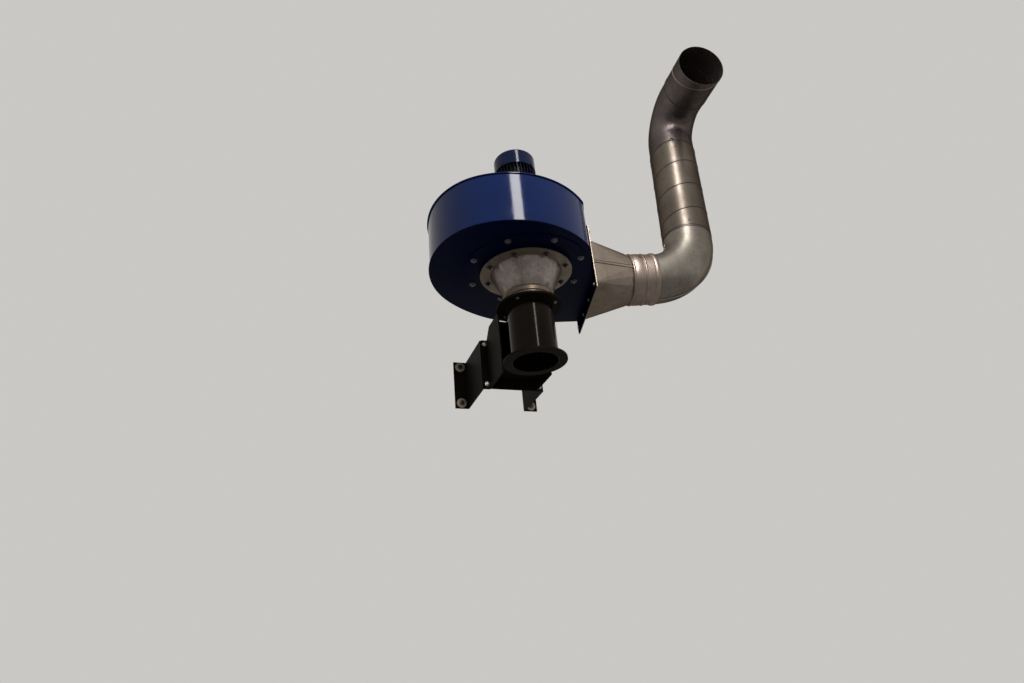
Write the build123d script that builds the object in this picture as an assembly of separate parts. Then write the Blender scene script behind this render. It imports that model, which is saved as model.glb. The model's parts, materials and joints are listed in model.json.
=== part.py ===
"""Wall-mounted extraction unit: steel console, arm pipe, spiral-cased fan with its motor on top, and duct.

Frame: X along the wall to the right, Y into the wall, Z up. The wall face is the plane Y = 0, and the
origin is the middle of the left-hand wall flange's back face. The unit stands off towards -Y.
"""
from build123d import *
import os
from math import cos, radians, sin

# Clearance between pieces that are fitted to each other
FIT = 0.2

# Console: two bent wall brackets and a box that holds the arm pipe
STEEL = 5.0
BRACKET_HEIGHT = 190.0
WALL_FLANGE_WIDTH = 54.0
BRACKET_REACH = 200.0
BRACKET_WEB_SPACING = 220.0
BRACKET_LIP = 24.0
ANCHOR_SPACING_Z = 148.0
ANCHOR_FROM_WEB = 29.0
ANCHOR_HOLE_R = 6.5
CONSOLE_BOLT_SPACING_Z = 158.0
CONSOLE_HOLE_R = 5.5
CONSOLE_INSET = 20.0
CONSOLE_SIDE_HEIGHT = 228.0
CONSOLE_SIDE_CHAMFER = 38.0
CONSOLE_FRONT_GAP = 80.0
SADDLE_LOW = 45.0
SADDLE_HIGH = 190.0

# Arm pipe with its two welded ring flanges
AXIS_TO_WALL = 430.0
PIPE_RISE = 4.0
PIPE_R = 80.0
PIPE_WALL = 3.0
PIPE_LENGTH = 209.0
PIPE_FLANGE = 8.0
PIPE_BOTTOM_FLANGE_R = 108.0
PIPE_TOP_FLANGE_R = 115.0
PIPE_BOLT_CIRCLE = 190.0
PIPE_BOLT_COUNT = 4
HOLE_R = 4.5

# Galvanised reducer between the pipe and the casing
SHEET = 1.5
NECK_R = 85.0
NECK_HEIGHT = 47.0
NECK_LIP_R = 112.0
NECK_BEAD = 3.0
CONE_TOP_R = 126.0
CONE_HEIGHT = 86.0
RING_PROUD = 2.0
RING_THICK = 3.0
SEAT_RING_R = 161.0
SEAT_RING_BORE_R = 131.0
SEAT_RING_THICK = 11.0
INNER_BOLT_CIRCLE = 286.0
OUTER_BOLT_CIRCLE = 402.0
RING_BOLT_COUNT = 8
RING_BOLT_PHASE = 22.5

# Spiral casing
CASING_ANGLE = -14.0
PLATE = 3.0
CASING_WIDTH = 188.0
PLATE_LIP = 4.0
WALL_ANGLES = (-32, -50, -70, -90, -110, -130, -150, -180, -210, -235, -255, -270)
WALL_RADII = (244.0, 248.0, 262.0, 284.0, 309.0, 332.0, 340.0, 337.0, 336.0, 344.0, 366.0, 386.0)
OUTLET_FAR = 396.0
OUTLET_RUN = 187.0
OUTLET_REACH = 264.0
OUTLET_NEAR = 100.0
OUTLET_NECK = 10.0
WRAP = 2.5
COVER_R = 222.0
COVER_OPENING_R = 186.0
OUTLET_LIP = 38.0
OUTLET_FLANGE_THICK = 3.0

# Inlet nozzle and impeller
NOZZLE_LIP_R = 150.0
NOZZLE_MOUTH_R = 128.0
NOZZLE_THROAT_R = 104.0
NOZZLE_FLARE = 7.0
NOZZLE_HEIGHT = 44.0
EYE_GAP = 2.5
EYE_OVERLAP = 6.0
IMPELLER_R = 196.0
IMPELLER_SHEET = 2.0
SHROUD_RISE = 18.0
BLADE_WIDTH = 58.0
BLADE_COUNT = 10
BLADE_INNER_R = 114.0
BLADE_CURVE_R = 135.0
BLADE_SWEEP = 34.0
HUB_R = 28.0
HUB_HEIGHT = 40.0

# Motor
SHAFT_R = 12.0
SHAFT_HOLE_R = 34.0
MOTOR_FLANGE_R = 100.0
MOTOR_FLANGE_THICK = 12.0
MOTOR_FLANGE_BOLT_CIRCLE = 165.0
MOTOR_FLANGE_BOLT_COUNT = 4
SHIELD_R = 72.0
SHIELD_HEIGHT = 24.0
FRAME_R = 64.0
FIN_THICK = 3.0
FIN_COUNT = 36
FRAME_HEIGHT = 212.0
REAR_SHIELD_HEIGHT = 12.0
COWL_R = 78.0
COWL_WALL = 1.5
COWL_HEIGHT = 66.0
COWL_OVERLAP = 14.0
COWL_ROUND = 12.0
COWL_SLOT_COUNT = 24
COWL_SLOT_CIRCLE_R = 40.0
COWL_SLOT_LENGTH = 34.0
COWL_SLOT_WIDTH = 4.0
COOLING_FAN_R = 62.0
COOLING_FAN_GAP = 6.0
COOLING_BLADE_GAP = 2.0
COOLING_BLADE_COUNT = 8
COOLING_BLADE_HEIGHT = 24.0
BOX_WIDTH = 96.0
BOX_HEIGHT = 96.0
BOX_DEPTH = 40.0
BOX_LID = 12.0
BOX_ANGLE = 180.0
BOX_CORNER = 10.0
BOX_RISE = 30.0
GLAND_R = 12.0
GLAND_LENGTH = 26.0

# Discharge duct
DUCT_R = 100.0
DUCT_SHEET = 1.2
TRANSITION_LENGTH = 176.0
TRANSITION_CORNER_R = 3.0
COLLAR_LENGTH = 106.0
COLLAR_BEAD = 3.0
SLIP = 40.0
ELBOW_TANGENT = 47.0
ELBOW_RADIUS = 194.0
ELBOW_ANGLE = 84.0
ELBOW_ROLL_ANGLE = -7.0
ELBOW_TAIL = 30.0
RISER_LENGTH = 509.0
BEND_TANGENT = 75.0
BEND_RADIUS = 137.0
BEND_ANGLE = 104.0
BEND_ROLL_ANGLE = 96.5
BEND_TAIL = 55.0
RUN_LENGTH = 160.0

# Heights and places worked out from the sizes above
console_low = -BRACKET_HEIGHT / 2
pipe_low = console_low + PIPE_RISE
pipe_high = pipe_low + PIPE_LENGTH
cone_low = pipe_high + NECK_HEIGHT
ring_low = cone_low + CONE_HEIGHT
seat_low = ring_low + RING_THICK
cover_low = seat_low + SEAT_RING_THICK
plate_low = cover_low + PLATE
wrap_low = plate_low + PLATE
wrap_high = wrap_low + CASING_WIDTH
casing_top = wrap_high + PLATE
impeller_back = plate_low + NOZZLE_HEIGHT - EYE_OVERLAP + SHROUD_RISE + BLADE_WIDTH
console_width = BRACKET_WEB_SPACING - 2 * CONSOLE_INSET
axis_x = (BRACKET_WEB_SPACING + WALL_FLANGE_WIDTH) / 2
axis_y = -AXIS_TO_WALL
fin_r = COWL_R - COWL_WALL - FIT
mouth_width = OUTLET_FAR - OUTLET_NEAR + 2 * PLATE_LIP + 2 * FIT
mouth_height = casing_top - plate_low + 2 * FIT
axis = Location((axis_x, axis_y, 0))
fan = Location((axis_x, axis_y, 0), (0, 0, CASING_ANGLE))

parts = {}


def ring(outer, inner, low, high):
    """Ring or tube about the Z axis between two heights."""
    return extrude(Plane.XY.offset(low) * (Circle(outer) - Circle(inner)), amount=high - low)


def turned(points):
    """Closed outline of (radius, height) points turned about the Z axis."""
    return revolve(Plane.XZ * make_face(Polyline(*points, close=True)), Axis.Z)


def bolt_holes(circle, count, phase, low, high, radius=HOLE_R):
    """Drills for a bolt circle about the Z axis."""
    drills = Plane.XY.offset(low) * PolarLocations(circle / 2, count, phase) * Circle(radius)
    return extrude(Sketch(children=drills), amount=high - low)


def hole_y(radius, x, y, z, depth):
    """Drill along Y, centred on a sheet."""
    return Location((x, y, z), (90, 0, 0)) * Cylinder(radius, depth)


def bracket_outline(side):
    """Plan of one wall bracket: flange on the wall outwards, web, lip inwards at the console."""
    web = BRACKET_WEB_SPACING / 2
    points = [
        (web + WALL_FLANGE_WIDTH, 0),
        (web, 0),
        (web, STEEL - BRACKET_REACH),
        (web - BRACKET_LIP, STEEL - BRACKET_REACH),
        (web - BRACKET_LIP, -BRACKET_REACH),
        (web + STEEL, -BRACKET_REACH),
        (web + STEEL, -STEEL),
        (web + WALL_FLANGE_WIDTH, -STEEL),
    ]
    return make_face(Polyline(*[(side * x, y) for x, y in points], close=True))


def build_brackets():
    anchor_x = BRACKET_WEB_SPACING / 2 + ANCHOR_FROM_WEB
    bolt_x = BRACKET_WEB_SPACING / 2 - BRACKET_LIP / 2
    for name, side in (("wall_bracket_left", -1), ("wall_bracket_right", 1)):
        body = extrude(Plane.XY.offset(console_low) * bracket_outline(side), amount=BRACKET_HEIGHT)
        for up in (-0.5, 0.5):
            body -= hole_y(ANCHOR_HOLE_R, side * anchor_x, -STEEL / 2, up * ANCHOR_SPACING_Z, 2 * STEEL)
            lip_y = STEEL / 2 - BRACKET_REACH
            body -= hole_y(CONSOLE_HOLE_R, side * bolt_x, lip_y, up * CONSOLE_BOLT_SPACING_Z, 2 * STEEL)
        parts[name] = Location((axis_x, 0, 0)) * body


def build_console():
    back_y = -BRACKET_REACH - STEEL
    bolt_x = BRACKET_WEB_SPACING / 2 - BRACKET_LIP / 2
    plate = Location((0, back_y + STEEL / 2, 0)) * Box(BRACKET_WEB_SPACING, STEEL, BRACKET_HEIGHT)
    for side in (-1, 1):
        for up in (-0.5, 0.5):
            plate -= hole_y(CONSOLE_HOLE_R, side * bolt_x, back_y, up * CONSOLE_BOLT_SPACING_Z, 4 * STEEL)
    parts["console_back_plate"] = Location((axis_x, 0, 0)) * plate
    front_y = axis_y + CONSOLE_FRONT_GAP
    top = console_low + CONSOLE_SIDE_HEIGHT
    outline = Polyline(
        (front_y, console_low),
        (back_y, console_low),
        (back_y, top - CONSOLE_SIDE_CHAMFER),
        (back_y - CONSOLE_SIDE_CHAMFER, top),
        (front_y, top),
        close=True,
    )
    for name, low_x in (("console_side_left", -console_width / 2), ("console_side_right", console_width / 2 - STEEL)):
        parts[name] = extrude(Plane.YZ.offset(axis_x + low_x) * make_face(outline), amount=STEEL)
    length = back_y - front_y
    for name, height in (("console_saddle_lower", SADDLE_LOW), ("console_saddle_upper", SADDLE_HIGH)):
        place = Location((axis_x, front_y + length / 2, console_low + height))
        saddle = place * Box(console_width - 2 * STEEL, length, STEEL)
        saddle -= axis * Cylinder(PIPE_R + FIT, 4 * PIPE_LENGTH)
        parts[name] = saddle


def build_pipe():
    parts["arm_pipe"] = axis * ring(PIPE_R, PIPE_R - PIPE_WALL, pipe_low, pipe_high)
    foot = ring(PIPE_BOTTOM_FLANGE_R, PIPE_R + FIT, pipe_low, pipe_low + PIPE_FLANGE)
    parts["pipe_bottom_flange"] = axis * foot
    head = ring(PIPE_TOP_FLANGE_R, PIPE_R + FIT, pipe_high - PIPE_FLANGE, pipe_high)
    head -= bolt_holes(PIPE_BOLT_CIRCLE, PIPE_BOLT_COUNT, 45, pipe_high - PIPE_FLANGE, pipe_high)
    parts["pipe_top_flange"] = axis * head


def build_reducer():
    neck = [(NECK_LIP_R, pipe_high), (NECK_R - SHEET, pipe_high), (NECK_R - SHEET, cone_low), (NECK_R, cone_low)]
    for middle in (cone_low - 1.5 * NECK_BEAD, (pipe_high + cone_low) / 2):
        neck += [(NECK_R, middle + NECK_BEAD), (NECK_R + NECK_BEAD, middle), (NECK_R, middle - NECK_BEAD)]
    neck += [(NECK_R, pipe_high + SHEET), (NECK_LIP_R, pipe_high + SHEET)]
    lip = turned(neck) - bolt_holes(PIPE_BOLT_CIRCLE, PIPE_BOLT_COUNT, 45, pipe_high, pipe_high + SHEET)
    parts["reducer_neck"] = axis * lip
    cone = [
        (NECK_R - SHEET, cone_low),
        (CONE_TOP_R - SHEET, ring_low),
        (CONE_TOP_R - SHEET, seat_low),
        (CONE_TOP_R, seat_low),
        (CONE_TOP_R, ring_low),
        (NECK_R, cone_low),
    ]
    parts["reducer_cone"] = fan * turned(cone)
    flange = ring(SEAT_RING_R + RING_PROUD, CONE_TOP_R + FIT, ring_low, seat_low)
    flange -= bolt_holes(INNER_BOLT_CIRCLE, RING_BOLT_COUNT, RING_BOLT_PHASE, ring_low, seat_low)
    parts["reducer_ring"] = fan * flange
    seat = ring(SEAT_RING_R, SEAT_RING_BORE_R, seat_low, cover_low)
    seat -= bolt_holes(INNER_BOLT_CIRCLE, RING_BOLT_COUNT, RING_BOLT_PHASE, seat_low, cover_low)
    parts["inlet_seat_ring"] = fan * seat


def volute(grow=0.0):
    """Plan of the casing: a smooth wall from the tongue round to the far side, then the straight outlet."""
    points = []
    for angle, radius in zip(WALL_ANGLES, WALL_RADII):
        turn = radians(angle)
        points.append(((radius + grow) * cos(turn), (radius + grow) * sin(turn)))
    run = (OUTLET_REACH - OUTLET_RUN, OUTLET_FAR + grow)
    far = (OUTLET_REACH, OUTLET_FAR + grow)
    near = (OUTLET_REACH, OUTLET_NEAR - grow)
    neck = (OUTLET_REACH - OUTLET_NECK + grow, OUTLET_NEAR - grow)
    edges = [
        Line(near, neck),
        Line(neck, points[0]),
        Spline(*points, run),
        Line(run, far),
        Line(far, near),
    ]
    return make_face(edges)


def build_casing():
    lid = volute(PLATE_LIP)
    low_plate = extrude(Plane.XY.offset(plate_low) * (lid - Circle(COVER_OPENING_R)), amount=PLATE)
    low_plate -= bolt_holes(OUTER_BOLT_CIRCLE, RING_BOLT_COUNT, RING_BOLT_PHASE, plate_low, wrap_low)
    parts["casing_bottom_plate"] = fan * low_plate
    high_plate = extrude(Plane.XY.offset(wrap_high) * (lid - Circle(SHAFT_HOLE_R)), amount=PLATE)
    high_plate -= bolt_holes(MOTOR_FLANGE_BOLT_CIRCLE, MOTOR_FLANGE_BOLT_COUNT, 45, wrap_high, casing_top)
    parts["casing_top_plate"] = fan * high_plate
    band = volute() - volute(-WRAP)
    parts["casing_wrap"] = fan * extrude(Plane.XY.offset(wrap_low) * band, amount=CASING_WIDTH)
    cover = ring(COVER_R, SEAT_RING_BORE_R, cover_low, plate_low)
    cover -= bolt_holes(OUTER_BOLT_CIRCLE, RING_BOLT_COUNT, RING_BOLT_PHASE, cover_low, plate_low)
    cover -= bolt_holes(INNER_BOLT_CIRCLE, RING_BOLT_COUNT, RING_BOLT_PHASE, cover_low, plate_low)
    parts["cover_disc"] = fan * cover


def outlet_plane(x):
    """Plane across the outlet with X up, Y towards the room and Z along the flow."""
    middle = ((OUTLET_NEAR + OUTLET_FAR) / 2, (plate_low + casing_top) / 2)
    return Plane(origin=(x, middle[0], middle[1]), x_dir=(0, 0, 1), z_dir=(1, 0, 0))


def outlet_frame(thick, x):
    """Rectangular flange round the outlet, with its bolt holes."""
    mouth = Rectangle(mouth_height, mouth_width)
    outline = Rectangle(mouth_height + 2 * OUTLET_LIP, mouth_width + 2 * OUTLET_LIP) - mouth
    frame = extrude(outlet_plane(x) * outline, amount=thick)
    rows = GridLocations(mouth_height + OUTLET_LIP, (mouth_width + OUTLET_LIP) / 3, 2, 4)
    drills = outlet_plane(x) * rows * Circle(HOLE_R)
    return frame - extrude(Sketch(children=drills), amount=thick)


def build_outlet():
    parts["casing_outlet_flange"] = fan * outlet_frame(OUTLET_FLANGE_THICK, OUTLET_REACH - OUTLET_FLANGE_THICK)
    parts["transition_flange"] = fan * outlet_frame(OUTLET_FLANGE_THICK, OUTLET_REACH)


def build_nozzle():
    arc_high = plate_low + NOZZLE_HEIGHT
    outline = make_face(
        [
            Line((NOZZLE_LIP_R, plate_low), (NOZZLE_MOUTH_R, plate_low)),
            ThreePointArc(
                (NOZZLE_MOUTH_R, plate_low),
                (NOZZLE_THROAT_R + NOZZLE_FLARE, plate_low + NOZZLE_HEIGHT / 3),
                (NOZZLE_THROAT_R, arc_high),
            ),
            Line((NOZZLE_THROAT_R, arc_high), (NOZZLE_THROAT_R + SHEET, arc_high)),
            ThreePointArc(
                (NOZZLE_THROAT_R + SHEET, arc_high),
                (NOZZLE_THROAT_R + NOZZLE_FLARE + SHEET, plate_low + NOZZLE_HEIGHT / 3 + SHEET / 2),
                (NOZZLE_MOUTH_R + SHEET / 2, plate_low + SHEET),
            ),
            Line((NOZZLE_MOUTH_R + SHEET / 2, plate_low + SHEET), (NOZZLE_LIP_R, plate_low + SHEET)),
            Line((NOZZLE_LIP_R, plate_low + SHEET), (NOZZLE_LIP_R, plate_low)),
        ]
    )
    parts["inlet_nozzle"] = fan * revolve(Plane.XZ * outline, Axis.Z)


def build_impeller():
    eye_r = NOZZLE_THROAT_R + SHEET + EYE_GAP
    eye_low = plate_low + NOZZLE_HEIGHT - EYE_OVERLAP
    rim_low = eye_low + SHROUD_RISE
    shroud = [
        (eye_r, eye_low),
        (eye_r + IMPELLER_SHEET, eye_low),
        (IMPELLER_R, rim_low - IMPELLER_SHEET),
        (IMPELLER_R, rim_low),
        (eye_r, eye_low + IMPELLER_SHEET),
    ]
    parts["impeller_shroud"] = fan * turned(shroud)
    disc = ring(IMPELLER_R, SHAFT_R + FIT, impeller_back, impeller_back + IMPELLER_SHEET)
    parts["impeller_back_plate"] = fan * disc
    room = turned(
        [
            (eye_r, eye_low + IMPELLER_SHEET + FIT),
            (IMPELLER_R, rim_low + FIT),
            (IMPELLER_R, impeller_back),
            (eye_r, impeller_back),
        ]
    )
    blades = []
    for turn in range(BLADE_COUNT):
        angle = 360 / BLADE_COUNT * turn
        inner = Vector(BLADE_INNER_R, 0).rotate(Axis.Z, angle)
        outer = Vector(IMPELLER_R, 0).rotate(Axis.Z, angle - BLADE_SWEEP)
        spine = RadiusArc((inner.X, inner.Y), (outer.X, outer.Y), BLADE_CURVE_R)
        web = trace(spine, IMPELLER_SHEET)
        blades.append(extrude(Plane.XY.offset(eye_low) * web, amount=impeller_back - eye_low) & room)
    parts["impeller_blades"] = Compound([solid for blade in blades for solid in (fan * blade).solids()])
    hub = ring(HUB_R, SHAFT_R + FIT, impeller_back + IMPELLER_SHEET, impeller_back + IMPELLER_SHEET + HUB_HEIGHT)
    parts["impeller_hub"] = fan * hub


def build_motor():
    flange_high = casing_top + MOTOR_FLANGE_THICK
    shield_high = flange_high + SHIELD_HEIGHT
    frame_high = shield_high + FRAME_HEIGHT
    rear_high = frame_high + REAR_SHIELD_HEIGHT
    shaft = Location((0, 0, impeller_back)) * Cylinder(
        SHAFT_R, rear_high + COWL_HEIGHT / 2 - impeller_back, align=(Align.CENTER, Align.CENTER, Align.MIN)
    )
    parts["motor_shaft"] = fan * shaft
    front = ring(MOTOR_FLANGE_R, SHAFT_R + FIT, casing_top, flange_high)
    front -= bolt_holes(MOTOR_FLANGE_BOLT_CIRCLE, MOTOR_FLANGE_BOLT_COUNT, 45, casing_top, flange_high)
    front += ring(SHIELD_R, SHAFT_R + FIT, flange_high, shield_high)
    parts["motor_flange"] = fan * front
    barrel = Circle(FRAME_R) - Circle(SHAFT_R + FIT)
    for place in PolarLocations((FRAME_R + fin_r) / 2, FIN_COUNT):
        barrel += place * Rectangle(fin_r - FRAME_R + 2 * FIN_THICK, FIN_THICK)
    barrel = barrel & Circle(fin_r)
    parts["motor_frame"] = fan * extrude(Plane.XY.offset(shield_high) * barrel, amount=FRAME_HEIGHT)
    parts["motor_rear_shield"] = fan * ring(SHIELD_R, SHAFT_R + FIT, frame_high, rear_high)
    cowl_low = frame_high - COWL_OVERLAP
    cowl_high = cowl_low + COWL_HEIGHT
    shell = Location((0, 0, cowl_low)) * Cylinder(COWL_R, COWL_HEIGHT, align=(Align.CENTER, Align.CENTER, Align.MIN))
    shell = fillet(shell.edges().sort_by(Axis.Z)[-1], COWL_ROUND)
    core = Location((0, 0, cowl_low)) * Cylinder(
        COWL_R - COWL_WALL, COWL_HEIGHT - COWL_WALL, align=(Align.CENTER, Align.CENTER, Align.MIN)
    )
    core = fillet(core.edges().sort_by(Axis.Z)[-1], COWL_ROUND - COWL_WALL)
    cowl = shell - core
    places = PolarLocations(COWL_SLOT_CIRCLE_R, COWL_SLOT_COUNT)
    slots = Plane.XY.offset(cowl_high - 2 * COWL_WALL) * places * Rectangle(COWL_SLOT_LENGTH, COWL_SLOT_WIDTH)
    cowl -= extrude(Sketch(children=slots), amount=4 * COWL_WALL)
    parts["motor_cowl"] = fan * cowl
    fan_low = rear_high + COOLING_FAN_GAP
    rotor = ring(COOLING_FAN_R, SHAFT_R + FIT, fan_low, fan_low + COWL_WALL)
    for place in PolarLocations((COOLING_FAN_R + SHAFT_R) / 2, COOLING_BLADE_COUNT):
        blade = Plane.XY.offset(fan_low) * place * Rectangle(COOLING_FAN_R - SHAFT_R - 2 * COOLING_BLADE_GAP, COWL_WALL)
        rotor += extrude(blade, amount=COOLING_BLADE_HEIGHT)
    parts["motor_cooling_fan"] = fan * rotor
    box_z = shield_high + BOX_RISE
    seat_x = fin_r + FIT
    side = Location((0, 0, 0), (0, 0, BOX_ANGLE))
    face = Plane(origin=(seat_x, 0, box_z + BOX_HEIGHT / 2), x_dir=(0, 1, 0), z_dir=(1, 0, 0))
    housing = extrude(face * RectangleRounded(BOX_WIDTH, BOX_HEIGHT, BOX_CORNER), amount=BOX_DEPTH)
    parts["motor_terminal_box"] = fan * side * housing
    lid = extrude(face.offset(BOX_DEPTH) * RectangleRounded(BOX_WIDTH, BOX_HEIGHT, BOX_CORNER), amount=BOX_LID)
    parts["terminal_box_lid"] = fan * side * lid
    gland = Location((seat_x + BOX_DEPTH / 2, 0, box_z + BOX_HEIGHT)) * Cylinder(
        GLAND_R, GLAND_LENGTH, align=(Align.CENTER, Align.CENTER, Align.MIN)
    )
    parts["cable_gland"] = fan * side * gland


def past_bend(lead, radius, angle):
    """Place and direction of the flow after a straight lead and a bend from Z towards X."""
    turn = radians(angle)
    return Location((radius * (1 - cos(turn)), 0, lead + radius * sin(turn)), (0, angle, 0))


def duct_bend(lead, radius, angle, tail):
    """Bent duct with a straight lead before the bend and a straight tail after it."""
    section = Plane.XY.offset(lead) * (Circle(DUCT_R) - Circle(DUCT_R - DUCT_SHEET))
    bend = revolve(section, Axis((radius, 0, lead), (0, 1, 0)), angle)
    end = past_bend(lead, radius, angle) * ring(DUCT_R, DUCT_R - DUCT_SHEET, 0, tail)
    return ring(DUCT_R, DUCT_R - DUCT_SHEET, 0, lead) + bend + end


def sleeve():
    """Outside sleeve with a bead at each end and one in the middle, over the joint of two ducts."""
    inner = DUCT_R + FIT
    outer = inner + DUCT_SHEET
    bead = outer + COLLAR_BEAD
    points = [(inner, 0), (inner, COLLAR_LENGTH), (outer, COLLAR_LENGTH)]
    for height in (COLLAR_LENGTH - 1.5 * COLLAR_BEAD, COLLAR_LENGTH / 2, 1.5 * COLLAR_BEAD):
        points += [(outer, height + COLLAR_BEAD / 2), (bead, height), (outer, height - COLLAR_BEAD / 2)]
    points.append((outer, 0))
    return turned(points)


def build_transition():
    start = outlet_plane(OUTLET_REACH)
    low = start.offset(OUTLET_FLANGE_THICK)
    high = low.offset(TRANSITION_LENGTH)

    def skin(inset):
        gap = 2 * (FIT + inset)
        square = RectangleRounded(mouth_height - gap, mouth_width - gap, TRANSITION_CORNER_R)
        radius = DUCT_R - inset
        circle = RectangleRounded(2 * radius, 2 * radius, radius - FIT)
        throat = extrude(start * square, amount=OUTLET_FLANGE_THICK)
        taper = loft([low * square, high * circle], ruled=True)
        spigot = extrude(high * circle, amount=COLLAR_LENGTH / 2)
        return throat + taper + spigot

    parts["transition_body"] = fan * (skin(0) - skin(DUCT_SHEET))
    return fan * high.location


def build_duct(start):
    flow = start
    parts["outlet_collar"] = flow * sleeve()
    flow = flow * Location((0, 0, COLLAR_LENGTH / 2), (0, 0, ELBOW_ROLL_ANGLE))
    parts["elbow"] = flow * duct_bend(ELBOW_TANGENT, ELBOW_RADIUS, ELBOW_ANGLE, ELBOW_TAIL + SLIP)
    flow = flow * past_bend(ELBOW_TANGENT, ELBOW_RADIUS, ELBOW_ANGLE) * Location((0, 0, ELBOW_TAIL))
    slip_r = DUCT_R + FIT + DUCT_SHEET
    parts["riser"] = flow * ring(slip_r, DUCT_R + FIT, 0, RISER_LENGTH)
    flow = flow * Location((0, 0, RISER_LENGTH - SLIP), (0, 0, BEND_ROLL_ANGLE))
    parts["upper_bend"] = flow * duct_bend(SLIP + BEND_TANGENT, BEND_RADIUS, BEND_ANGLE, BEND_TAIL + SLIP)
    flow = flow * past_bend(SLIP + BEND_TANGENT, BEND_RADIUS, BEND_ANGLE)
    parts["run_duct"] = flow * ring(slip_r, DUCT_R + FIT, BEND_TAIL, BEND_TAIL + RUN_LENGTH)


build_brackets()
build_console()
build_pipe()
build_reducer()
build_casing()
build_outlet()
build_nozzle()
build_impeller()
build_motor()
build_duct(build_transition())

os.makedirs("parts", exist_ok=True)
for node, shape in parts.items():
    export_step(shape, f"parts/{node}.step")
    print(node, round(shape.volume), "mm3")
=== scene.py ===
# %% [markdown]
# # A wall-mounted extraction unit
#
# A black steel console with two brackets carries an open pipe. On the pipe stands a galvanised
# reducer, and on it a blue spiral-cased fan with its motor on top. A square-to-round sheet piece
# and a spiral duct take the air away. The solids come ready from CAD, because their sizes have to
# fit one another. This file gives them their rounded edges, seams, bolts and finishes.

# %% Load the CAD solids
import json
from math import atan2, cos, hypot, pi, radians, sin, tau

import bpy
from mathutils import Matrix, Vector


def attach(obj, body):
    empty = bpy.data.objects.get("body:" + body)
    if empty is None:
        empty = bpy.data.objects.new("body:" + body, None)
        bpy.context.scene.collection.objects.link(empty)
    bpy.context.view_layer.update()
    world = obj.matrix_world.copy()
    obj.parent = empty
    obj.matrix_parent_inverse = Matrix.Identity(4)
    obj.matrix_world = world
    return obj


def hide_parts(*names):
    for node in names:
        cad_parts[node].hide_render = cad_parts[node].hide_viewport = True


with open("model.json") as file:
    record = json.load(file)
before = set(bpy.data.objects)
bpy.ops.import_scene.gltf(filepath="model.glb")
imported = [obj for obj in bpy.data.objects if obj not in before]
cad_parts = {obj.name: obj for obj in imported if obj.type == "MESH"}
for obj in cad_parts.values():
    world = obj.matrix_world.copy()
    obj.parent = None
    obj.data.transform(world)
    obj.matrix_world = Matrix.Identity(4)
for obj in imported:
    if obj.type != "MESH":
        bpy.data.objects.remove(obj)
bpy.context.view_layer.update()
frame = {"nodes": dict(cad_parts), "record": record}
slots = {row["node"]: row["material_slot"] for row in frame["record"]["subparts"]}


def short(values):
    """Numbers rounded to a millimetre, for printing."""
    return tuple(round(value, 3) for value in values)


# %% [markdown]
# ## Directions
#
# The fan, its motor and the pipe share one upright axis, and the fan is turned a little about it.
# Its bolts could be placed one by one in the unit's coordinates, but they are simpler in the fan's
# own directions: along its outlet, across it, and up. One function turns such a place into the
# unit's coordinates.

# %% Where the fan stands and how it is turned
AXIS_X, AXIS_Y = 0.137, -0.43
FAN_TURN = radians(-14)
OUTLET_SIDE, OUTLET_HEIGHT = 0.248, 0.365
FAN_AXIS = Vector((AXIS_X, AXIS_Y, 0))
UP = Vector((0, 0, 1))
OUT = Vector((0, -1, 0))
flow = Vector((cos(FAN_TURN), sin(FAN_TURN), 0))
across = Vector((-sin(FAN_TURN), cos(FAN_TURN), 0))


def on_fan(along, side, height):
    """A place given along the outlet, across it, and in height above the middle of the brackets."""
    return FAN_AXIS + flow * along + across * side + UP * height


print("the outlet leaves from", short(on_fan(0, OUTLET_SIDE, OUTLET_HEIGHT)), "towards", short(flow))

# %% [markdown]
# ## The camera
#
# A camera can be placed by eye, or worked out from lines that are upright or level on the real
# thing. These angles were worked out, so straight edges in the picture run as they should. The
# camera stands low and looks steeply up, which is why the underside of the fan shows.

# %% Camera
CAMERA_PLACE = Vector((-0.667, -2.328, -1.021))
TURN, TILT, ROLL = radians(20.97), radians(26.22), radians(5.35)
LENS_MM, FILM_MM = 24, 36

ahead = Vector((sin(TURN) * cos(TILT), cos(TURN) * cos(TILT), sin(TILT)))
level = Vector((cos(TURN), -sin(TURN), 0))
down = ahead.cross(level)
right = cos(ROLL) * level + sin(ROLL) * down
below = -sin(ROLL) * level + cos(ROLL) * down

camera_data = bpy.data.cameras.new("camera")
camera_data.lens = LENS_MM
camera_data.sensor_width = FILM_MM
camera = bpy.data.objects.new("camera", camera_data)
bpy.context.scene.collection.objects.link(camera)
aim = Matrix((right, -below, -ahead)).transposed().to_4x4()
camera.matrix_world = Matrix.Translation(CAMERA_PLACE) @ aim
bpy.context.scene.camera = camera
print("the camera looks along", short(ahead))

# %% [markdown]
# ## Shader maths written as Python
#
# A material in Blender is a graph of nodes. Wiring each node by hand makes long code, so one small
# class wraps a socket and lets `+`, `-`, `*` and `/` add the Math nodes. One method of the graph
# adds every other node.

# %% A socket that Python can do sums with
class Socket:
    """An output of a shader node that sums can be written with."""

    def __init__(self, graph, out):
        self.graph = graph
        self.out = out

    def __add__(self, other):
        return self.graph.math("ADD", self, other)

    def __radd__(self, other):
        return self.graph.math("ADD", other, self)

    def __sub__(self, other):
        return self.graph.math("SUBTRACT", self, other)

    def __rsub__(self, other):
        return self.graph.math("SUBTRACT", other, self)

    def __mul__(self, other):
        return self.graph.math("MULTIPLY", self, other)

    def __rmul__(self, other):
        return self.graph.math("MULTIPLY", other, self)

    def __truediv__(self, other):
        return self.graph.math("DIVIDE", self, other)

    def __rtruediv__(self, other):
        return self.graph.math("DIVIDE", other, self)


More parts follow.
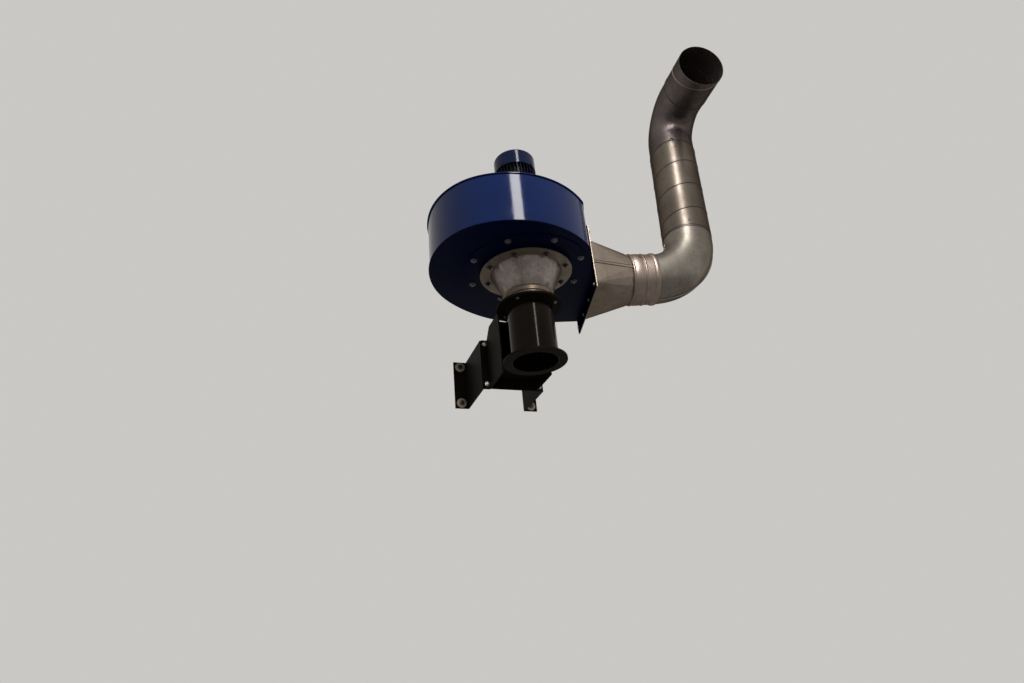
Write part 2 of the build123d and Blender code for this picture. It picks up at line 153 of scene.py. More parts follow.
# %% A graph and the one way its nodes are added
class Graph:
    """The nodes of a material or of the world."""

    def __init__(self, tree):
        self.tree = tree

    def feed(self, socket, value):
        """Links a socket to another one, or sets its value."""
        if isinstance(value, Socket):
            self.tree.links.new(value.out, socket)
        else:
            socket.default_value = value

    def node(self, kind, settings=None, inputs=None, out=0):
        """Adds a node, makes its settings, feeds its inputs, and gives one of its outputs."""
        made = self.tree.nodes.new(kind)
        for name, value in (settings or {}).items():
            setattr(made, name, value)
        for key, value in (inputs or {}).items():
            self.feed(made.inputs[key], value)
        return Socket(self, made.outputs[out])

    def math(self, operation, *values, clamp=False):
        settings = {"operation": operation, "use_clamp": clamp}
        return self.node("ShaderNodeMath", settings, dict(enumerate(values)))


# %% [markdown]
# Every finish below is built from the same few patterns: a noise, a noise cut into patches, a blend
# of two colours, and a bump. They read Object coordinates, which stay with the unit wherever it is
# put, and a Mapping node stretches a pattern where dirt runs down.

# %% A material and its patterns
SHADER_SOCKETS = {
    "colour": "Base Color",
    "roughness": "Roughness",
    "metallic": "Metallic",
    "normal": "Normal",
    "specular": "Specular IOR Level",
    "edge": "Specular Tint",
}
MIX_AMOUNT, MIX_FIRST, MIX_SECOND, MIX_RESULT = 0, 6, 7, 2


def paint(red, green, blue):
    """A colour written as 0 to 255 screen values, turned into the linear numbers that shaders use."""
    shares = [value / 255 for value in (red, green, blue)]
    linear = [v / 12.92 if v < 0.04045 else ((v + 0.055) / 1.055) ** 2.4 for v in shares]
    return (*linear, 1)


class Finish(Graph):
    """A material with a Principled shader, and the patterns that its colours are laid in."""

    def __init__(self, name):
        self.material = bpy.data.materials.new(name)
        self.material.use_nodes = True
        super().__init__(self.material.node_tree)
        self.shader = self.tree.nodes["Principled BSDF"]
        self.place = self.node("ShaderNodeTexCoord", out="Object")

    def placed(self, move=(0, 0, 0), scale=(1, 1, 1)):
        """Object coordinates moved or stretched by a Mapping node."""
        inputs = {"Vector": self.place, "Location": move, "Scale": scale}
        return self.node("ShaderNodeMapping", inputs=inputs)

    def noise(self, scale, detail=3.0, rough=0.5, place=None):
        """A cloudy pattern between 0 and 1. A larger scale makes smaller clouds."""
        inputs = {"Vector": place or self.place, "Scale": scale, "Detail": detail, "Roughness": rough}
        return self.node("ShaderNodeTexNoise", inputs=inputs)

    def ramp(self, value, bare, full):
        """0 where value is at bare or beyond, 1 where it is at full or beyond, even between them."""
        inputs = {"Value": value, "From Min": bare, "From Max": full}
        return self.node("ShaderNodeMapRange", {"clamp": True}, inputs)

    def patches(self, scale, detail, rough, bare, full, place=None):
        """A noise that is cut into patches: nothing below bare, the whole above full."""
        return self.ramp(self.noise(scale, detail, rough, place), bare, full)

    def blend(self, amount, first, second):
        """The first colour where amount is 0, the second where it is 1."""
        inputs = {MIX_AMOUNT: amount, MIX_FIRST: first, MIX_SECOND: second}
        return self.node("ShaderNodeMix", {"data_type": "RGBA"}, inputs, out=MIX_RESULT)

    def bump(self, height, distance):
        """A normal that makes a smooth face look as uneven as height, which is distance metres deep."""
        return self.node("ShaderNodeBump", inputs={"Height": height, "Distance": distance})

    def made(self, **values):
        """Feeds the shader's sockets and gives the finished material."""
        for name, value in values.items():
            self.feed(self.shader.inputs[SHADER_SOCKETS[name]], value)
        print("finish", self.material.name, "nodes:", len(self.tree.nodes))
        return self.material


# %% [markdown]
# ## Enamel on the fan
#
# The casing is sprayed with a blue enamel over bent and welded sheet. It is glossy enough to show a
# lamp as a sharp streak. Under the gloss the colour drifts a little, and dust and oily grime dull
# it in patches. A flat colour would look like plastic, so one slow noise moves the colour, one
# rough noise lays the grime on both the colour and the roughness, and a fine one gives the
# orange-peel skin that every sprayed coat has.

# %% Blue enamel, and darker copies of it that carry painted shade
def enamel(name, colour, shade, grime_colour, gloss, specular):
    """A sprayed coat. A lower gloss number is shinier, as with every roughness here."""
    f = Finish(name)
    drift = f.patches(4.0, 4.0, 0.5, bare=0.35, full=0.68)
    grime = f.patches(12.0, 7.0, 0.68, bare=0.5, full=0.8)
    specks = f.patches(150.0, 3.0, 0.6, bare=0.68, full=0.78)
    base = f.blend(grime * 0.35 + specks * 0.2, f.blend(drift, colour, shade), grime_colour)
    return f.made(
        colour=base,
        roughness=gloss + grime * 0.1 + specks * 0.08,
        normal=f.bump(f.noise(300.0, 1.0), 0.00001),
        specular=specular,
    )


blue_enamel = enamel("blue_enamel", paint(9, 31, 79), paint(7, 26, 68), paint(30, 30, 42), 0.1, 0.17)
cowl_enamel = enamel(
    "dull_blue_enamel", paint(10, 22, 48), paint(8, 18, 41), paint(28, 27, 32), 0.12, 0.12
)
# Painted shade: the blue enamel made darker for the underside, the cover and the motor's flange, shield
# and box.
shaded_blue_enamel = enamel("blue_enamel_painted_shade", paint(2, 11, 45), paint(1, 8, 36), paint(11, 13, 22), 0.3, 0.03)
# Painted shade: a dark, matt copy of the blue enamel for the outlet flange.
shaded_matt_enamel = enamel("matt_blue_painted_shade", paint(5, 11, 30), paint(3, 8, 23), paint(14, 14, 20), 0.5, 0.0)
# Painted shade: the motor's blue enamel made nearly black on its finned frame.
shaded_fins = enamel("blue_fins_painted_shade", paint(7, 9, 17), paint(5, 6, 12), paint(18, 17, 17), 0.3, 0.05)

# %% [markdown]
# ## Powder coat on the console and the pipe
#
# The console, the pipe and its flanges are black powder coat: a baked skin, smooth to the eye and
# finely grained close up. Pale dust gathers on it, and rubbed places shine. A single pale tint would
# lie too evenly. The dust gathers in clouds and runs down with damp, so it is one noise, and a
# second one stretched downwards.

# %% Black powder coat, satin on the plates and glossy on the pipe
RUN_DOWN = (1, 1, 0.12)


def powder_coat(name, colour, dusty, gloss, specular):
    """A baked coat with dust and the runs of dust that damp leaves."""
    f = Finish(name)
    dust = f.patches(11.0, 7.0, 0.7, bare=0.5, full=0.78)
    runs = f.patches(30.0, 4.0, 0.6, bare=0.55, full=0.75, place=f.placed(scale=RUN_DOWN))
    return f.made(
        colour=f.blend(dust * 0.3 + runs * 0.15, colour, dusty),
        roughness=gloss + dust * 0.05 + runs * 0.02,
        normal=f.bump(f.noise(800.0, 2.0), 0.000003),
        specular=specular,
    )


black_coat = powder_coat("black_satin_coat", paint(22, 19, 15), paint(44, 38, 31), 0.46, 0.02)
pipe_coat = powder_coat("black_gloss_coat", paint(17, 12, 9), paint(40, 31, 25), 0.12, 0.075)

# %% [markdown]
# ## Galvanised sheet
#
# Zinc freezes on the sheet in crystals, so galvanised metal has flakes of a finger's width that
# each shine a bit differently. A Voronoi texture gives every flake its own value. Years of fumes
# add brown film and spots. The duct is dull and brownish, the upper bend is darker, and the reducer
# is paler, so one function makes all of them from three colours.

# %% Galvanised finishes
RUN_LONG = (1, 1, 0.2)
ZINC_EDGE = paint(110, 96, 84)


def galvanised(name, light, dark, stain, gloss, spotted=0.5):
    """Zinc with crystals and a film between light and dark, and stains as strong as spotted."""
    f = Finish(name)
    crystal = f.node("ShaderNodeTexVoronoi", inputs={"Vector": f.place, "Scale": 85.0}, out="Color")
    flake = f.node("ShaderNodeSeparateColor", inputs={"Color": crystal})
    film = f.patches(6.0, 5.0, 0.6, bare=0.34, full=0.68)
    runs = f.patches(26.0, 5.0, 0.65, bare=0.52, full=0.78, place=f.placed(scale=RUN_LONG))
    spots = f.patches(22.0, 7.0, 0.72, bare=0.58, full=0.74)
    base = f.blend(flake * 0.25 + film * 0.75, light, dark)
    return f.made(
        colour=f.blend(spots * spotted + runs * 0.3, base, stain),
        metallic=0.9 - spots * 0.4,
        roughness=gloss + flake * 0.05 + film * 0.05 + spots * 0.2,
        normal=f.bump(f.noise(26.0, 2.0), 0.0001),
        edge=ZINC_EDGE,
    )


duct_zinc = galvanised(
    "galvanised_duct", paint(118, 110, 101), paint(94, 86, 78), paint(62, 51, 42), 0.3
)
elbow_zinc = galvanised(
    "galvanised_elbow", paint(152, 146, 137), paint(112, 105, 97), paint(70, 59, 50), 0.32
)
bend_zinc = galvanised(
    "galvanised_bend", paint(112, 104, 102), paint(80, 73, 71), paint(50, 43, 40), 0.36
)
flat_zinc = galvanised(
    "galvanised_transition", paint(160, 148, 136), paint(134, 123, 112), paint(88, 76, 62), 0.36
)
new_zinc = galvanised(
    "galvanised_collar", paint(174, 159, 149), paint(136, 122, 113), paint(98, 82, 70), 0.32
)
pale_zinc = galvanised(
    "galvanised_reducer", paint(168, 157, 152), paint(108, 98, 93), paint(56, 47, 41), 0.34, spotted=0.95
)

# %% [markdown]
# ## The stained ring
#
# The flat ring of the reducer is stained where rust ran from each screw. Eight painted spots would
# need eight places. The screws stand on a circle, so the pattern is worked out in the ring's own
# terms instead: the angle round the axis is folded into eight equal wedges, and one distance, from
# the screw in the middle of each wedge, lays the rust for all of them.

# %% Ring with a stain at each screw
RING_CIRCLE, RING_COUNT = 0.286, 8
STAIN_EDGE, STAIN_CORE = 0.018, 0.0105
RAGGED = 0.006


def stained_ring():
    """Zinc that is rusty round each screw of the reducer's ring."""
    f = Finish("galvanised_ring")
    centred = f.placed(move=(-AXIS_X, -AXIS_Y, 0))
    x, y = (f.node("ShaderNodeSeparateXYZ", inputs={"Vector": centred}, out=axis) for axis in ("X", "Y"))
    radius = f.math("SQRT", x * x + y * y)
    wedge = tau / RING_COUNT
    turns = (f.math("ARCTAN2", y, x) + (pi - FAN_TURN)) / wedge
    aside = (f.math("FRACT", turns) - 0.5) * wedge * radius
    away = radius - RING_CIRCLE / 2
    ragged = f.noise(160.0, 4.0, 0.6) * RAGGED
    rust = f.ramp(f.math("SQRT", aside * aside + away * away) + ragged, bare=STAIN_EDGE, full=STAIN_CORE)
    film = f.patches(14.0, 6.0, 0.65, bare=0.4, full=0.7)
    base = f.blend(film, paint(146, 133, 116), paint(112, 101, 87))
    return f.made(
        colour=f.blend(rust * 0.9, base, paint(34, 22, 15)),
        metallic=0.7 - rust * 0.6,
        roughness=0.42 + rust * 0.3 + film * 0.06,
        normal=f.bump(ragged, 0.02),
    )


ring_zinc = stained_ring()

# %% [markdown]
# ## Small metals and mouldings
#
# Bolts are zinc plated, and the old ones have gone brown. Their colour changes within millimetres,
# so the noise is fine. Turned steel shows faint rings, and the moulded plastic is only grained.

# %% Zinc plate, rust, washers, welds, grime and painted shade
def plated(name, light, dark, stain, amount, metal=0.8, gloss=0.34):
    """A small metal piece. A larger amount of stain lowers both ends of its patches."""
    f = Finish(name)
    cloud = f.noise(70.0, 4.0, 0.6)
    spots = f.patches(210.0, 5.0, 0.7, bare=0.62 - amount * 0.3, full=0.75 - amount * 0.2)
    base = f.blend(spots, f.blend(cloud, light, dark), stain)
    return f.made(
        colour=base, metallic=metal, roughness=gloss + spots * 0.3, normal=f.bump(cloud, 0.0001)
    )


zinc_plate = plated("dull_zinc_bolt", paint(128, 126, 121), paint(96, 94, 90), paint(70, 58, 48), 0.25)
worn_washer = plated(
    "worn_washer", paint(116, 116, 118), paint(84, 84, 88), paint(52, 48, 46), 0.3, metal=0.6
)
bright_zinc = plated(
    "bright_zinc_bolt", paint(206, 204, 200), paint(168, 165, 160), paint(112, 96, 78), 0.15
)
rusty_steel = plated(
    "rusty_bolt", paint(66, 52, 42), paint(42, 32, 26), paint(28, 20, 16), 0.4, metal=0.2
)
sooty_steel = plated(
    "sooty_bolt", paint(30, 22, 17), paint(20, 14, 11), paint(11, 8, 6), 0.4, metal=0.1, gloss=0.6
)
solder = plated(
    "soldered_lap", paint(150, 140, 135), paint(112, 102, 96), paint(52, 43, 38), 0.3, metal=0.7
)
pale_washer = plated(
    "pale_washer", paint(176, 166, 150), paint(150, 138, 122), paint(98, 80, 62), 0.3, metal=0.1
)
# Grime in the duct's seam and sealant, and painted shade in the torn notch and beside the transition's
# fold.
grime_and_shade = plated(
    "seam_grime_and_painted_shade", paint(22, 16, 12), paint(14, 10, 8), paint(9, 7, 6), 0.3, metal=0.1, gloss=0.8
)
zinc_seam = plated("seam_of_zinc", paint(142, 130, 114), paint(104, 94, 82), paint(66, 54, 44), 0.2)


# %% Turned steel and moulded plastic
def turned():
    """Bright steel with the fine rings that a lathe leaves."""
    f = Finish("turned_steel")
    rings = f.noise(160.0, 2.0, place=f.placed(scale=(1, 1, 8)))
    base = f.blend(rings, paint(170, 168, 165), paint(140, 138, 135))
    return f.made(colour=base, metallic=1.0, roughness=0.25 + rings * 0.1)


def moulded():
    """Black plastic, only grained."""
    f = Finish("black_moulding")
    grain = f.noise(900.0, 2.0)
    base = f.blend(grain, paint(26, 26, 27), paint(38, 38, 39))
    return f.made(colour=base, roughness=0.5 + grain * 0.15, normal=f.bump(grain, 0.00005), specular=0.4)


turned_steel = turned()
black_moulding = moulded()

# %% [markdown]
# ## Which node gets which finish
#
# The part's record gives each node a slot, and a slot has one usual finish. Some pieces of a slot
# get another: the motor's flange, shield, box and fins and the outlet flange get darker blues that
# carry painted shade, the cowl and the outlet flange are duller than the casing, and each length of
# sheet has its own grey. A second table names those, and it is looked up first.

# %% Usual finishes by slot, and the nodes that differ
slot_finish = {
    "black_steel": black_coat,
    "blue_paint": blue_enamel,
    "navy_paint": shaded_blue_enamel,
    "galvanised_sheet": duct_zinc,
    "bright_steel": turned_steel,
    "black_plastic": black_moulding,
}
# The darker blues in this table carry painted shade.
node_finish = {
    "reducer_neck": flat_zinc,
    "reducer_cone": pale_zinc,
    "reducer_ring": ring_zinc,
    "casing_outlet_flange": shaded_matt_enamel,
    "transition_flange": flat_zinc,
    "transition_body": flat_zinc,
    "outlet_collar": new_zinc,
    "elbow": elbow_zinc,
    "upper_bend": bend_zinc,
    "run_duct": bend_zinc,
    "arm_pipe": pipe_coat,
    "motor_flange": shaded_blue_enamel,
    "motor_frame": shaded_fins,
    "motor_cowl": cowl_enamel,
    "motor_rear_shield": shaded_blue_enamel,
    "motor_terminal_box": shaded_blue_enamel,
    "terminal_box_lid": shaded_blue_enamel,
}
print("finishes:", len(bpy.data.materials), "nodes that differ from their slot:", len(node_finish))

# %% [markdown]
# ## Dressing the solids
#
# A CAD mesh has sharp edges and loose triangles. On real plate every cut or bent edge is slightly
# round, and that roundness is what catches the light. Each node is copied, its doubles are merged,
# flat faces are joined, and the painted pieces get a Bevel that keeps the flats flat by hardening
# the normals. Sheet metal stays sharp, because its edges are thinner than any bevel that would
# show.

# %% Selecting, editing and settling one piece
def pick(piece):
    """Selects only this piece, because an operator acts on all that is selected."""
    bpy.ops.object.select_all(action="DESELECT")
    piece.select_set(True)
    bpy.context.view_layer.objects.active = piece


def edit_all():
    """Opens the picked piece in edit mode with the whole of it selected."""
    bpy.ops.object.mode_set(mode="EDIT")
    bpy.ops.mesh.select_all(action="SELECT")


def edit_chosen(piece, kind, chosen):
    """Opens a piece in edit mode with only its chosen edges or polygons selected."""
    bpy.ops.object.mode_set(mode="EDIT")
    bpy.ops.mesh.select_all(action="DESELECT")
    bpy.ops.object.mode_set(mode="OBJECT")
    for element in getattr(piece.data, kind):
        element.select = chosen(element)
    bpy.ops.object.mode_set(mode="EDIT")


def round_edges(piece, width, **settings):
    """Rounds the edges of the picked piece with a Bevel of two steps."""
    bevel = piece.modifiers.new("edge", "BEVEL")
    bevel.width = width
    bevel.segments = 2
    for name, value in settings.items():
        setattr(bevel, name, value)
    bpy.ops.object.modifier_apply(modifier="edge")


def settle(piece, finish):
    """Puts the piece's place into its mesh, gives it its finish and lets it ride on the unit."""
    pick(piece)
    bpy.ops.object.transform_apply(location=True, rotation=True, scale=True)
    piece.data.materials.clear()
    piece.data.materials.append(finish)
    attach(piece, "root")
    print(piece.name, "faces:", len(piece.data.polygons))
    return piece


# %% [markdown]
# The corners of the square-to-round piece are smooth cones in CAD. On the real one each corner is
# folded by hand in a few straight bends, so it shows flat facets that fan out from the corner of
# the flange. The facets could be modelled anew, but the sheet would then have to be joined to its
# neighbours again. At any distance along the piece a corner is an arc: small at the flange, a
# quarter of the duct at the round end. Straight fold lines run along it, one at each eighth of a
# half turn. Every point between two of them is drawn in to the flat between them, which keeps the
# sheet closed, and a small smoothing angle keeps the four facets apart.

# %% Fold the corners of the transition
SQUARE_END, ROUND_END = 0.267, 0.443
CORNER_SIDE, CORNER_HEIGHT, CORNER_ARC = 0.149, 0.094, 0.003
DUCT_R, SHEET = 0.1, 0.0012
FOLD = pi / 8
HAIR = 1e-7


def fold_corners(piece):
    """Draws the points of each corner arc in to the flat facets between its fold lines."""
    middle = on_fan(0, OUTLET_SIDE, OUTLET_HEIGHT)
    drawn_in = 0
    for point in piece.data.vertices:
        away = point.co - middle
        share = (away.dot(flow) - SQUARE_END) / (ROUND_END - SQUARE_END)
        side, height = away.dot(across), away.z
        centre_side = (1 - share) * CORNER_SIDE * (1 if side > 0 else -1)
        centre_height = (1 - share) * CORNER_HEIGHT * (1 if height > 0 else -1)
        arc_side, arc_height = side - centre_side, height - centre_height
        reach = hypot(arc_side, arc_height)
        arc = (1 - share) * CORNER_ARC + share * DUCT_R
        on_piece = -0.001 < share < 1.001
        on_corner = arc_side * side > -HAIR and arc_height * height > -HAIR
        if on_piece and on_corner and arc - 2 * SHEET < reach < arc + SHEET / 2:
            angle = atan2(arc_height, arc_side)
            reach *= cos(FOLD / 2) / cos(angle % FOLD - FOLD / 2)
            side, height = centre_side + reach * cos(angle), centre_height + reach * sin(angle)
            point.co = middle + flow * away.dot(flow) + across * side + UP * height
            drawn_in += 1
    print("points drawn in:", drawn_in)


# %% Dress the CAD nodes
EDGE_WIDTH = {"black_steel": 0.0008, "blue_paint": 0.0006, "navy_paint": 0.0006}
EDGE_ANGLE = radians(38)
DOUBLES_WITHIN = 0.00002


def dress(node):
    """A copy of a CAD node with doubles merged, flat faces joined, and painted edges rounded."""
    folded = node == "transition_body"
    flat_below, smooth_below = (1.0, 6) if folded else (0.4, 33)
    piece = frame["nodes"][node].copy()
    piece.data = piece.data.copy()
    piece.name = node + "_dressed"
    piece.parent = None
    bpy.context.scene.collection.objects.link(piece)
    pick(piece)
    bpy.ops.mesh.customdata_custom_splitnormals_clear()
    edit_all()
    bpy.ops.mesh.remove_doubles(threshold=DOUBLES_WITHIN)
    bpy.ops.object.mode_set(mode="OBJECT")
    if folded:
        fold_corners(piece)
    edit_all()
    bpy.ops.mesh.dissolve_limited(angle_limit=radians(flat_below))
    bpy.ops.object.mode_set(mode="OBJECT")
    bpy.ops.object.shade_smooth_by_angle(angle=radians(smooth_below))
    width = EDGE_WIDTH.get(slots[node])
    if width:
        round_edges(piece, width, limit_method="ANGLE", angle_limit=EDGE_ANGLE, harden_normals=True)
    settle(piece, node_finish.get(node, slot_finish[slots[node]]))
    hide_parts(node)
    return piece


dressed = [dress(node) for node in frame["nodes"]]
print("dressed:", len(dressed), "faces:", sum(len(piece.data.polygons) for piece in dressed))

# %% [markdown]
# ## Bolts, nuts and washers
#
# A hexagon head starts as a six-sided cylinder whose outer corners are chamfered, and a washer is a
# short round one. Both get their top rims bevelled in edit mode. Each kind of bolt is made once,
# standing on the origin, and is copied to its holes with a mesh of its own, each head turned
# differently, as spanners leave them.

# %% Places on a bolt circle, and standing something on a place
def compass(angle):
    """A level direction by its angle in degrees, from the unit's X towards its Y."""
    return Vector((cos(radians(angle)), sin(radians(angle)), 0))


def ring_places(circle, count, height, on_pipe=False):
    """Places on a bolt circle about the fan's axis, the first half a step round from the outlet."""
    places = []
    for index in range(count):
        angle = radians(360 / count * (index + 0.5))
        place = (circle / 2 * cos(angle), circle / 2 * sin(angle), height)
        places.append(FAN_AXIS + Vector(place) if on_pipe else on_fan(*place))
    return places


def stand(foot, way, hint):
    """A matrix that stands something on foot with its Z along way and its X square to hint."""
    way = way.normalized()
    side = hint.cross(way).normalized()
    turn = Matrix((side, way.cross(side), way)).transposed().to_4x4()
    return Matrix.Translation(foot) @ turn


# %% A disc, a hexagon bolt and a round screw
def disc(radius, low, high, edge, finish, sides=32):
    """A short round or six-sided cylinder whose top rim is bevelled."""
    bpy.ops.object.select_all(action="DESELECT")
    bpy.ops.mesh.primitive_cylinder_add(
        vertices=sides, radius=radius, depth=high - low, location=(0, 0, (low + high) / 2)
    )
    piece = bpy.context.active_object
    bpy.ops.object.transform_apply(location=True, rotation=True, scale=True)

    def on_top(rim):
        return all(abs(piece.data.vertices[v].co.z - high) < 1e-6 for v in rim.vertices)

    edit_chosen(piece, "edges", on_top)
    bpy.ops.mesh.bevel(offset=edge, segments=2)
    bpy.ops.object.mode_set(mode="OBJECT")
    piece.data.materials.append(finish)
    return piece


WASHER_THICK, HEAD_HIGH, HEAD_CORNER = 0.2, 0.65, 0.92


def hex_bolt(size, washer_r, finish, washer_finish=None, shank=0.0):
    """A bolt head on its washer, or a nut with the end of its bolt standing out by shank."""
    washer = size * WASHER_THICK
    head = washer + size * HEAD_HIGH
    parts = [
        disc(washer_r, 0, washer, washer * 0.3, washer_finish or finish),
        disc(size * HEAD_CORNER, washer, head, size * 0.1, finish, sides=6),
    ]
    if shank:
        parts.append(disc(size / 2, washer, head + shank, size * 0.08, finish, sides=20))
    bpy.ops.object.select_all(action="DESELECT")
    for part in parts:
        part.select_set(True)
    bpy.context.view_layer.objects.active = parts[0]
    bpy.ops.object.join()
    return parts[0]


def pan_screw(radius, finish):
    """A round head, domed by a wide bevel. A driver's recess would be too small to see."""
    return disc(radius, 0, radius * 0.65, radius * 0.4, finish, sides=20)


# %% Copying a bolt to its holes
ANY_SIDE = Vector((0.3, 0.5, 0.81))
SPIN_FIRST, SPIN_STEP = 0.3, 0.9


def fasten(master, name, places, ways):
    """Copies the master to each place, head along its way, each with its own mesh, then removes it."""
    for index, place in enumerate(places):
        copy = master.copy()
        copy.data = master.data.copy()
        copy.name = f"{name}_{index + 1}"
        bpy.context.scene.collection.objects.link(copy)
        way = ways[index] if isinstance(ways, list) else ways
        spin = Matrix.Rotation(SPIN_STEP * index + SPIN_FIRST, 4, "Z")
        copy.data.transform(stand(place, way, ANY_SIDE) @ spin)
        pick(copy)
        bpy.ops.object.shade_smooth_by_angle(angle=radians(30))
        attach(copy, "root")
    bpy.data.objects.remove(master)
    print(name, len(places))


# %% [markdown]
# Four bolt circles lie about the fan's axis: the cover's, the reducer ring's, the pipe flange's and
# the motor flange's. The cover's heads are worn to one grey with their washers, and the ring's are
# sooty and stand tall, because their ends point down through the ring. The pipe's flange is turned
# with the console, not with the fan.

# %% Bolts of the fan, the reducer and the pipe
fasten(
    hex_bolt(0.008, 0.0115, worn_washer),
    "cover_bolt",
    ring_places(circle=0.402, count=8, height=0.265),
    -UP,
)
fasten(
    hex_bolt(0.0065, 0.0075, sooty_steel, shank=0.005),
    "ring_bolt",
    ring_places(RING_CIRCLE, RING_COUNT, height=0.251),
    -UP,
)
fasten(
    hex_bolt(0.006, 0.0064, zinc_plate),
    "pipe_flange_bolt",
    ring_places(circle=0.19, count=4, height=0.110, on_pipe=True),
    -UP,
)
fasten(
    hex_bolt(0.008, 0.0095, zinc_plate, shank=0.003),
    "pipe_flange_nut",
    ring_places(circle=0.19, count=4, height=0.1195, on_pipe=True),
    UP,
)
fasten(
    hex_bolt(0.008, 0.0095, zinc_plate),
    "motor_flange_bolt",
    ring_places(circle=0.165, count=4, height=0.474),
    UP,
)

# %% [markdown]
# The outlet's two flanges are bolted together by two rows of four. The heads are on the casing's
# side and the nuts on the sheet's, so the same holes are used twice, once at each face of the pair.

# %% Bolts of the outlet flange
ROWS_APART, ROW_LENGTH = 0.2324, 0.3424
HEAD_FACE, NUT_FACE = 0.261, SQUARE_END

rows = [side * ROWS_APART / 2 for side in (-1, 1)]
columns = [step * ROW_LENGTH / 3 for step in (-1.5, -0.5, 0.5, 1.5)]
holes = [(OUTLET_SIDE + column, OUTLET_HEIGHT + row) for row in rows for column in columns]
outlet_heads = [on_fan(HEAD_FACE, *hole) for hole in holes]
outlet_nuts = [on_fan(NUT_FACE, *hole) for hole in holes]
fasten(hex_bolt(0.006, 0.0075, zinc_plate), "outlet_bolt", outlet_heads, -flow)
fasten(hex_bolt(0.006, 0.0075, zinc_plate, shank=0.003), "outlet_nut", outlet_nuts, flow)

# %% [markdown]
# Four bright bolts hold the console to its brackets, with their nuts behind the plate. The anchors
# in the brackets' flanges are the oldest fasteners: rusty heads on wide pale washers. All of them
# mirror about the middle of the console.

# %% Bolts of the console and anchors of the brackets
CORNERS = [(side, up) for side in (-1, 1) for up in (-1, 1)]
CONSOLE_SIDE, CONSOLE_FACE, CONSOLE_UP, BEHIND = 0.098, -0.205, 0.079, 0.01
ANCHOR_SIDE, ANCHOR_FACE, ANCHOR_UP = 0.139, -0.005, 0.074


def about_middle(side_out, face, up_out):
    """Four places that mirror about the middle of the console."""
    return [Vector((AXIS_X + side * side_out, face, up * up_out)) for side, up in CORNERS]


console_places = about_middle(CONSOLE_SIDE, CONSOLE_FACE, CONSOLE_UP)
console_backs = [place - OUT * BEHIND for place in console_places]
fasten(hex_bolt(0.008, 0.0092, bright_zinc), "console_bolt", console_places, OUT)
fasten(hex_bolt(0.01, 0.0115, zinc_plate, shank=0.004), "console_nut", console_backs, -OUT)

anchor_places = about_middle(ANCHOR_SIDE, ANCHOR_FACE, ANCHOR_UP)
fasten(hex_bolt(0.01, 0.019, rusty_steel, washer_finish=pale_washer), "wall_anchor", anchor_places, OUT)

# %% [markdown]
# The lid of the terminal box and the motor's cowl are held by small round-headed screws. The lid's
# stand in a square on its face. The cowl's go in from the side, so each one points along its own
# radius.

# %% Screws of the terminal box and the cowl
SCREW_R = 0.0042
LID_FACE, LID_HEIGHT, LID_SCREW = -0.1285, 0.576, 0.038
COWL_SCREW_R, COWL_SCREW_HEIGHT = 0.0778, 0.703

lid_places = [on_fan(LID_FACE, side * LID_SCREW, LID_HEIGHT + up * LID_SCREW) for side, up in CORNERS]
fasten(pan_screw(SCREW_R, zinc_plate), "lid_screw", lid_places, -flow)
cowl_angles = [pi / 4 + turn * pi / 2 for turn in range(4)]
cowl_ways = [flow * cos(angle) + across * sin(angle) for angle in cowl_angles]
cowl_places = [FAN_AXIS + way * COWL_SCREW_R + UP * COWL_SCREW_HEIGHT for way in cowl_ways]
fasten(pan_screw(SCREW_R, cowl_enamel), "cowl_screw", cowl_places, cowl_ways)

# %% [markdown]
# ## Seams, beads and welds
#
# Spiral duct is rolled from a strip whose edges are folded together, and the fold winds round the
# tube like a screw thread. The bends are pressed from two halves, so they have a seam along the
# inside and the outside of the curve. All of these, and the weld beads of the pipe, are one small
# oval that is swept round an axis: climbing for the duct, flat for a bend or a weld. The Screw
# modifier does both. It is applied at the origin, and the mesh is then moved to its place.

# %% A bead swept round an axis
OVAL_SIDES = 8
STEPS_A_TURN = 96


def raised(place, height):
    """A place moved along its own Z."""
    return place @ Matrix.Translation((0, 0, height))


def wound(name, place, radius, proud, width, finish, turn=tau, rise=0.0):
    """A flat oval bead swept round the Z axis of place by an angle, climbing by rise as it goes."""
    bpy.ops.object.select_all(action="DESELECT")
    bpy.ops.mesh.primitive_circle_add(
        vertices=OVAL_SIDES, radius=0.5, location=(radius, 0, 0), rotation=(pi / 2, 0, 0)
    )
    bead = bpy.context.active_object
    bead.name = name
    bead.scale = (2 * proud, width, 1)
    bpy.ops.object.transform_apply(location=True, rotation=True, scale=True)
    whole_ring = turn == tau and not rise
    screw = bead.modifiers.new("wind", "SCREW")
    screw.angle = turn
    screw.screw_offset = rise
    screw.steps = screw.render_steps = max(8, int(STEPS_A_TURN * turn / tau))
    screw.use_merge_vertices = whole_ring
    bpy.ops.object.modifier_apply(modifier="wind")
    edit_all()
    if not whole_ring:
        bpy.ops.mesh.fill_holes(sides=OVAL_SIDES)
    bpy.ops.mesh.normals_make_consistent(inside=False)
    bpy.ops.object.mode_set(mode="OBJECT")
    bpy.ops.object.shade_smooth_by_angle(angle=radians(60))
    bead.data.transform(place)
    return settle(bead, finish)


# %% Lock seams of the riser and the run
RISER_FOOT = Vector((0.92012, -0.34413, 0.56701))
RISER_WAY = Vector((0.1307, 0.0923, 0.9871)).normalized()
RUN_FOOT = Vector((0.98313, -0.49941, 1.28603))
RUN_WAY = Vector((-0.157463, -0.978567, -0.13271)).normalized()
DUCT_OUT = 0.1014
SEAM_PITCH, SEAM_PROUD, SEAM_WIDTH, SEAM_INSET = 0.142, 0.0012, 0.0062, 0.003

riser = stand(RISER_FOOT, RISER_WAY, Vector((0, 1, 0)))
run = stand(RUN_FOOT, RUN_WAY, UP)


